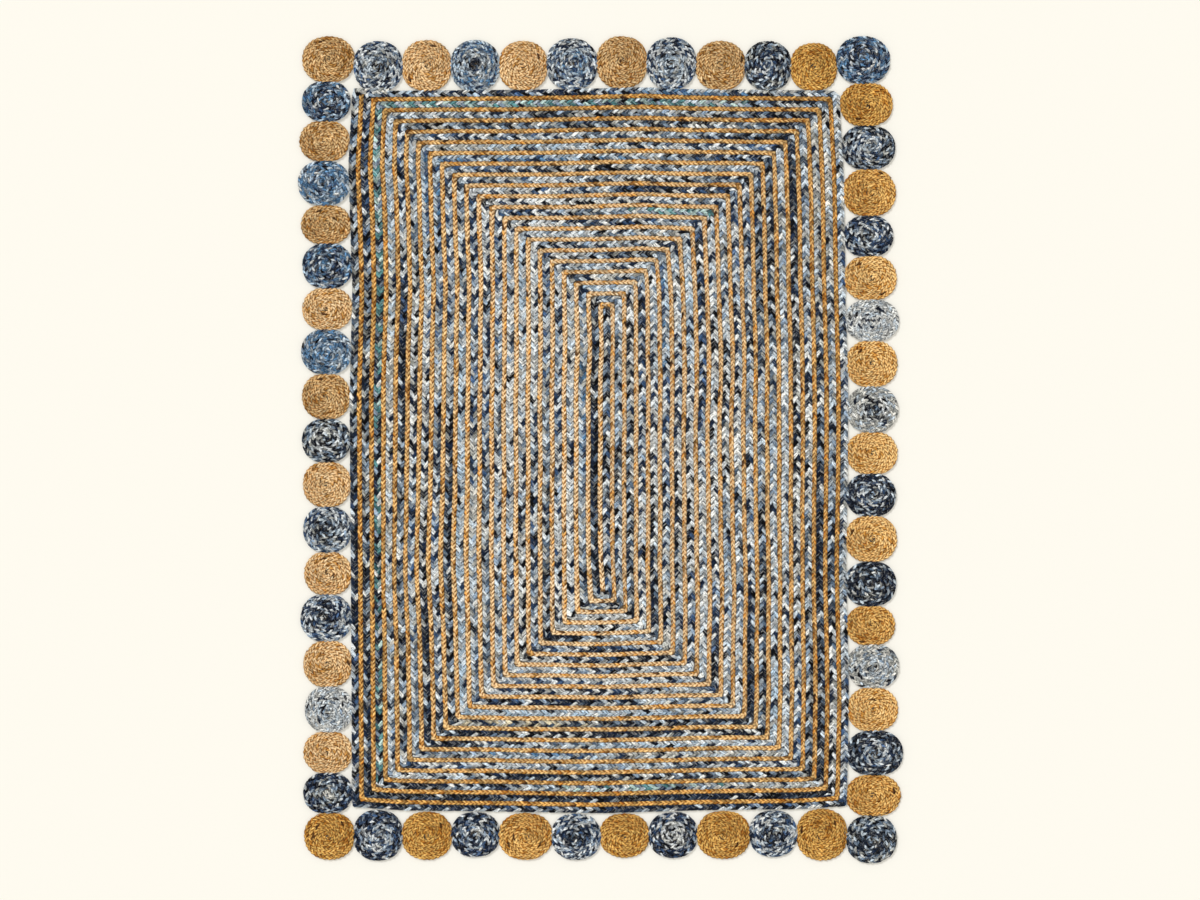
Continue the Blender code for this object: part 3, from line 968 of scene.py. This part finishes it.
def jute_material(name, side_shade, low_shade, seam_shade):
    """Jute yarn, spun and left undyed. The shades set the painted shade in its hollows and seams."""
    material, tree, shader = new_material(name, Roughness=0.80, Specular_IOR_Level=0.25)
    yarn = add(tree, "ShaderNodeAttribute", output="Color", attribute_name="cloth")
    wide = add(tree, "ShaderNodeAttribute", output="Fac", attribute_name="wide")
    where = add(tree, "ShaderNodeTexCoord", output="Object")
    height = add(tree, "ShaderNodeSeparateXYZ", (where,), "Z")
    specks = add(tree, "ShaderNodeTexNoise", {"Vector": where, "Scale": 1 / FIBRE_GRAIN, "Detail": 1.0},
                 "Fac")
    fibres = streaks(tree, *FIBRES)
    lit = 0.0
    for value, light in ((fibres, FIBRE_LIGHT), (specks, SPECK_LIGHT), (wide, TURN_PAINTED_LIGHT)):
        part = add(tree, "ShaderNodeMapRange", (value, *light))
        lit = add(tree, MATH, (lit, part), operation="ADD")
    deep, pale = (add(tree, VECTOR_MATH, (yarn, tint), operation="MULTIPLY")
                  for tint in (DARK_FIBRE_AND_SHADE_TINT, PALE_FIBRE_AND_LIGHT_TINT))
    colour = add(tree, "ShaderNodeMix", {"Factor": lit, "A": deep, "B": pale}, "Result", data_type="RGBA")
    # Painted shade on the covered side, on all that lies low and at the seams, and painted light on top
    shades = (
        add(tree, "ShaderNodeMapRange", (wide, *JUTE_SIDES, side_shade, JUTE_MIDDLE_PAINTED_LIGHT)),
        add(tree, "ShaderNodeMapRange", (height, *JUTE_HEIGHTS, low_shade, JUTE_TOP_PAINTED_LIGHT)),
        seam_painted_shade(tree, seam_shade),
    )
    for shade in shades:
        colour = add(tree, VECTOR_MATH, {0: colour, "Scale": shade}, operation="SCALE")
    tree.links.new(colour, shader.inputs["Base Color"])
    bump = add(tree, "ShaderNodeBump", {"Height": fibres, "Strength": 0.5, "Distance": 0.001})
    tree.links.new(bump, shader.inputs["Normal"])
    return material


# The coiled jute gets deeper painted shade, and painted shade at its seams, which the field's lacks
jute_cloth = jute_material("jute_yarn", 0.76, 0.86, 1.0)
jute_disc_cloth = jute_material("jute_yarn_coiled", 0.74, 0.80, 0.86)
print(len(jute_cloth.node_tree.nodes), "nodes make the jute")

# %% [markdown]
# ## The field
#
# The field is nothing but the two long plaits. Each could be one piece, but a mesh of 300,000 triangles
# is heavy to handle, so each is cut in two halfway. Both halves have the ring at the cut, so that no
# gap shows there.

# %% The chart of the denim rows
ROW_MIXES = {
    # a group of letters for each round, from the middle out, with a letter for each stretch of the row
    "left": "dxl mbm wwpg fnnp lmmn nnfw knws npwp mpmn mmnf mgnn "
            "sssm ldmn nnmb dkfb mnkm lldn mggs eeet dllj jdll",
    "top": "m sp mgm mpp kll nmf pmg fjn nmt fkfm fnjj mnkm nkmm bbmj gspn nnmd llll mlml tttl ajbm",
    "right": "mlm kll jnff pfkd bnng pfkm sfkn jnwp pwfj mkmp "
             "nfmp nmnd lmll lmps mppp dkkn mfml gldd gmlk mnmn",
    "bottom": "l kw pw mld njn kjk pnp pfnn mjkf mldj msss dlqq kdkd psmd ggbm nmpn lldp gtmd xxdx jdjd",
}
FIRST_MIXES = ["ln", "m"]  # of the two short rows in the middle
LAST_MIX = "g"
STRAND_LAG = 0.3  # of a stretch, by which one strand changes before or after the next


def mixes_by_leg():
    """The numbers of the mixes of each straight row, and how many there are."""
    rows = {side: text.split() for side, text in ROW_MIXES.items()}
    charted = list(FIRST_MIXES)
    for number in range(ROUNDS):
        charted += [rows[side][number] for side in SIDES]
    charted += [rows["left"][ROUNDS], LAST_MIX]
    table = np.zeros((len(charted), max(map(len, charted))), int)
    for number, letters in enumerate(charted):
        table[number, :len(letters)] = mix_numbers(letters)
    return table, np.array([len(letters) for letters in charted])


LEG_MIXES, LEG_PARTS = mixes_by_leg()


def field_mix(place, strand):
    """The mix at a place on the long plait. The three strands change strips at different points."""
    leg = np.clip(np.floor(place), 0, len(LEG_MIXES) - 1).astype(int)
    count = LEG_PARTS[leg]
    part = np.floor((place - leg) * count + STRAND_LAG * (strand - 1)).astype(int)
    return LEG_MIXES[leg, np.clip(part, 0, count - 1)]


print(LEG_PARTS.sum(), "stretches of denim are charted on", len(LEG_PARTS), "rows")

# %% The tones of the jute
JUTE_ROUNDS = [0, 9, 13, 17, 20]
JUTE_YARNS = ["#EAC592", "#E6BE88", "#D6AC70", "#C69A5C", "#BC8C48"]  # at those rounds
BATCH_SEED = 7
BATCH_TONES = 0.05  # how much the yarn differs from row to row
JUTE_TINTS = [
    # from and to, of all stitches, and how much of the yarn's red, green and blue they keep
    (0.000, 0.140, (0.66, 0.50, 0.26, 1)),  # rust
    (0.840, 1.000, (1.15, 1.24, 1.42, 1)),  # bleached
    (0.000, 0.008, (0.12, 0.08, 0.05, 1)),  # burnt
]


def jute_row(place):
    """The yarn of the field's rows: pale in the middle, and more golden as the rounds go out."""
    yarns = np.array([linear(yarn) for yarn in JUTE_YARNS])
    batch = np.random.default_rng(BATCH_SEED).normal(1, BATCH_TONES, (len(jute_legs) + 1, 1))
    in_round = place / len(SIDES)
    colours = np.stack([np.interp(in_round, JUTE_ROUNDS, channel) for channel in yarns.T], axis=1)
    return colours * batch[np.floor(place).astype(int)]


def tone_jute(made, sizes, route, yarn_at, tones, seed):
    """Gives every stitch of jute its own tone, with some that are rust brown, bleached or burnt."""
    _, _, place, which = stitches_of(made.data, sizes, route)
    chance = np.random.default_rng(seed)
    count = which.max() + 1
    pick = chance.random(count)
    tone = np.ones((count, 4))
    for low, high, tint in JUTE_TINTS:
        tone[(pick >= low) & (pick < high)] = tint
    tone[:, :3] *= np.exp(chance.normal(0, tones, count))[:, None]
    paint_faces(made.data, yarn_at(place) * tone[which])


print("the jute goes from", JUTE_YARNS[0], "in the middle to", JUTE_YARNS[-1], "at the edge")

# %% The field's plaits
CUTS = (0, 0.5, 1)  # where each long plait is cut, as shares of its length
DENIM_SEED = 11
DENIM_DYE_SEED = 101
JUTE_SEED = 23
JUTE_TONE_SEED = 201
FIELD_ODD = 1.0
FIELD_JUTE_TONES = 0.32


def field_plait(kind, route, sizes, material, seed):
    """One of the two long plaits, cut into lengths so that no piece gets too heavy."""
    path = path_object(kind + "_path", route)
    last_ring = int((lengths_of(route)[-1] - 2 * sizes["Drift"]) / ring_spacing(sizes))
    made = []
    for number, (start, end) in enumerate(zip(CUTS, CUTS[1:]), 1):
        first, last = int(last_ring * start), int(last_ring * end)
        piece = plait(path, f"field_{kind}_plait_{number}", {
            **sizes, "Seed": seed, "Material": material, "First Ring": first, "Ring Count": last - first + 1,
        })
        made.append(piece)
        print(piece.name, triangles(piece), "triangles")
    bpy.data.objects.remove(path)
    return made


denim_plaits = field_plait("denim", denim_route, DENIM, denim_cloth, DENIM_SEED)
jute_plaits = field_plait("jute", jute_route, JUTE, jute_cloth, JUTE_SEED)
for number, piece in enumerate(denim_plaits):
    dye(piece, DENIM, denim_route, field_mix, FIELD_ODD, DENIM_DYE_SEED + number)
    unroll(piece, DENIM)
for number, piece in enumerate(jute_plaits):
    tone_jute(piece, JUTE, jute_route, jute_row, FIELD_JUTE_TONES, JUTE_TONE_SEED + number)
    unroll(piece, JUTE)

# %% [markdown]
# ## The discs
#
# Each disc is a short plait wound up from its middle like a snail shell and pressed between its
# neighbours. It could be an even spiral, but pressed discs are not round, so every turn follows the
# packed disc's own outline, and less and less of it further in. Nor does a thick plait creep in
# evenly: it keeps its distance for just over half of each turn, and moves in by its own width in the
# rest.

# %% Sizes and colours of the discs
DENIM_DISC = {
    **DENIM, "Stitch": 0.0108, "Rings": DISC_RINGS, "Half Width": 0.0058, "Reach": 0.88,
    "Thickness": 0.0036, "Unevenness": 0.24, "Drift": 0.0,
}
JUTE_DISC = {
    **JUTE, "Stitch": 0.0112, "Rings": DISC_RINGS, "Half Width": 0.0054, "Reach": 0.93, "Lean": 0.0007,
    "Overlap": 1.36, "Unevenness": 0.20, "Drift": 0.0,
}
DENIM_DISC_MIXES = {
    # the first denim disc's number, and for it and every other disc after it a letter for each stretch
    # of its plait, from the rim in
    "top": (2, "nml bmx nbn nms ljn uju"),
    "left": (2, "jlg wpm njd nld lkl vv ujv vuv ujv"),
    "right": (3, "dnl gpg dld dnl gkl wf jnl lnm"),
    "bottom": (2, "jnn jnl njd jkk njl ldl"),
}
JUTE_DISC_YARNS = {"a": "#D6AE78", "b": "#DFB16C", "c": "#CB9B53", "d": "#C19147", "e": "#BF9863"}
JUTE_DISC_CHART = {
    # the first jute disc's number, and a yarn for it and for every other disc after it
    "top": (1, "e a a e e d"),
    "left": (3, "a a a a e a e e"),
    "right": (2, "c b c b b b b c d"),
    "bottom": (1, "d d c d d d"),
}


def disc_colours(kind, chart):
    """The chart's entries by the names of the discs that they are for."""
    named = {}
    for side, (first, text) in chart.items():
        for number, entry in enumerate(text.split()):
            named[f"disc_{side}_{first + 2 * number:02}_{kind}"] = entry
    return named


DISC_ENTRIES = {**disc_colours("denim", DENIM_DISC_MIXES), **disc_colours("jute", JUTE_DISC_CHART)}
print(len(DISC_ENTRIES), "discs have their colours charted")

# %% The coil of a plait
POINTS_PER_TURN = 40
STEP_IN = 0.44  # of a turn, in which the plait moves in by its own width
TAIL = 0.33  # of a turn, where the plait's end tapers away
CORE_TURNS = 0.25  # of a turn, left out in the middle
PAST_MIDDLE = 0.3  # of half a plait, by which the last turn may reach over the middle


def coil_route(outline, half, start_angle, turning):
    """The two edges of a plait that is coiled from a disc's rim to its middle."""
    middle = outline.mean(axis=0)
    spokes = outline - middle
    angles = np.arctan2(spokes[:, 1], spokes[:, 0])
    order = np.argsort(angles)
    reach = np.linalg.norm(spokes, axis=1)
    mean_reach = reach.mean()
    turns = mean_reach / (2 * half) - CORE_TURNS
    wound = np.linspace(-TAIL, turns, ceil((turns + TAIL) * POINTS_PER_TURN))
    angle = start_angle + turning * tau * wound
    rim = np.interp(angle, angles[order], reach[order], period=tau)

    def reach_after(count):
        """How far out the plait's outer edge is after this many turns. It steps in late in each turn."""
        whole, part = np.floor(np.maximum(count, 0)), np.maximum(count, 0) % 1
        late = np.clip((part - 1 + STEP_IN) / STEP_IN, 0, 1)
        smooth = late * late * (3 - 2 * late)
        share = 1 - 2 * half * (whole + smooth) / mean_reach
        return share * (mean_reach + (rim - mean_reach) * np.clip(share, 0, 1))

    spoke = np.stack([np.cos(angle), np.sin(angle)], axis=1)
    outer = reach_after(wound)[:, None]
    inner = np.maximum(reach_after(wound + 1), -PAST_MIDDLE * half)[:, None]
    return Route(middle + spoke * outer, middle + spoke * inner, wound + TAIL)


disc_nodes = sorted(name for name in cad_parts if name.startswith("disc_"))
trial_coil = coil_route(outline_of(disc_nodes[0]), JUTE_DISC["Half Width"], 0.0, 1)
print(f"{disc_nodes[0]} would take {lengths_of(trial_coil)[-1]:.2f} m of the jute discs' plait")

# %% One disc after the other
ANGLE_STEP = 2.4  # radians, so that no two neighbours start at the same angle
DISC_SEED = 300
DISC_COLOUR_SEED = 400
DISC_ODD = 0.5  # half as many odd stitches as in the field
DISC_JUTE_TONES = 0.14
DISC_STRAND_LAG = 0.15  # of a turn, by which one strand changes before the next
RIM_LASTS = 1.4  # more than 1 makes the mix at the rim the longest


def disc_mix(letters, turns):
    """The mix at a place on a disc's plait, as a function."""
    mixes = np.array(mix_numbers(letters))

    def mix_at(place, strand):
        part = (place + DISC_STRAND_LAG * strand) / turns
        return mixes[np.clip((part ** RIM_LASTS * len(mixes)).astype(int), 0, len(mixes) - 1)]

    return mix_at


def disc(node, number):
    """One coiled disc, which takes the place of a packed one."""
    kind = node.split("_")[-1]
    sizes = DENIM_DISC if kind == "denim" else JUTE_DISC
    route = coil_route(outline_of(node), sizes["Half Width"], ANGLE_STEP * number, 1 if number % 2 else -1)
    path = path_object(node + "_path", route)
    piece = plait(path, node.replace("disc_", "coiled_"), {
        **sizes, "Seed": DISC_SEED + number,
        "Material": denim_disc_cloth if kind == "denim" else jute_disc_cloth,
        "Ring Count": int(lengths_of(route)[-1] / ring_spacing(sizes)) + 1,
    })
    bpy.data.objects.remove(path)
    seed = DISC_COLOUR_SEED + number
    if kind == "denim":
        dye(piece, sizes, route, disc_mix(DISC_ENTRIES[node], route.place[-1]), DISC_ODD, seed)
    else:
        yarn = np.array(linear(JUTE_DISC_YARNS[DISC_ENTRIES[node]]))
        tone_jute(piece, sizes, route, lambda place: np.tile(yarn, (len(place), 1)), DISC_JUTE_TONES, seed)
    unroll(piece, sizes)
    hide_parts(node)
    return piece


discs = [disc(node, number) for number, node in enumerate(disc_nodes)]
print(len(discs), "discs,", sum(triangles(piece) for piece in discs), "triangles")

# %% [markdown]
# ## The sewn layer inside
#
# Between the strands one looks down on their inner sides and on the sewing thread that holds the rows
# together. They could be threads one by one, but at the bottom of a gap of a millimetre or two they are
# only a dull brown, so a thin dark layer in the middle of the rug's thickness stands for them. Its size
# and area are those of the whole rug.
# The layer's dark brown is painted shade, as at the bottom of a narrow gap.

# %% The thread's mottle, painted dark as in shade
THREAD_SPACING = 1 / 120  # metres, which is about 8 mm between two stitches of the sewing thread
# Both browns are darkened by painted shade
SHADED_THREAD_DARK = "#4A4036"
SHADED_THREAD_PALE = "#6A5E4E"


def thread_material():
    """Sewing thread and the inner sides of the strands in painted shade: dull, and a mottled brown."""
    material, tree, shader = new_material("sewing_thread_layer", Roughness=0.95)
    where = add(tree, "ShaderNodeTexCoord", output="Object")
    mottle = add(tree, "ShaderNodeTexNoise", {"Vector": where, "Scale": 1 / THREAD_SPACING, "Detail": 2.0},
                 "Fac")
    colours = {"Factor": mottle, "A": linear(SHADED_THREAD_DARK), "B": linear(SHADED_THREAD_PALE)}
    colour = add(tree, "ShaderNodeMix", colours, "Result", data_type="RGBA")
    tree.links.new(colour, shader.inputs["Base Color"])
    return material


thread_in_painted_shade = thread_material()
print("the mottle repeats about every", round(THREAD_SPACING * 1000, 1), "mm")

# %% The layer itself
LAYER_BOTTOM = 0.0025
LAYER_TOP = 0.0045
LAYER_INSET = 0.006  # how far the layer stays inside each outline


def in_order(outline):
    """An outline's corners in the order in which they follow each other."""
    spokes = outline - outline.mean(axis=0)
    return outline[np.argsort(np.arctan2(spokes[:, 1], spokes[:, 0]))]


def sheet_mesh(name, material):
    """Thin flat layers inside the field and inside each disc, as one mesh, and their area."""
    verts, faces, area = [], [], 0.0
    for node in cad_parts:
        ring = in_order(outline_of(node))
        middle = ring.mean(axis=0)
        spokes = ring - middle
        ring = middle + spokes * (1 - LAYER_INSET / np.linalg.norm(spokes, axis=1))[:, None]
        first, count = len(verts), len(ring)
        verts += [(x, y, z) for z in (LAYER_BOTTOM, LAYER_TOP) for x, y in ring]
        faces.append(tuple(range(first + count - 1, first - 1, -1)))
        faces.append(tuple(range(first + count, first + 2 * count)))
        for i in range(count):
            j = (i + 1) % count
            faces.append((first + i, first + j, first + count + j, first + count + i))
        x, y = ring.T
        area += 0.5 * abs(np.dot(x, np.roll(y, -1)) - np.dot(y, np.roll(x, -1)))
    mesh = bpy.data.meshes.new(name)
    mesh.from_pydata(verts, [], faces)
    mesh.materials.append(material)
    return new_object(name, mesh), area


core, core_area = sheet_mesh("sewn_layer", thread_in_painted_shade)
print("the layer covers", round(core_area, 3), "m2")

# %% [markdown]
# ## Joining the shared model
#
# Each piece is hung on a body, and the imported piece that it stands for is hidden. The discs have
# hidden theirs already. The rug has no joints, so everything rides on its one body. It lies flat.

# %% Riding, and hiding the imported pieces
field_plaits = denim_plaits + jute_plaits
for piece in field_plaits + discs + [core]:
    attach(piece, "root")
for piece in field_plaits:
    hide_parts("rug_field")
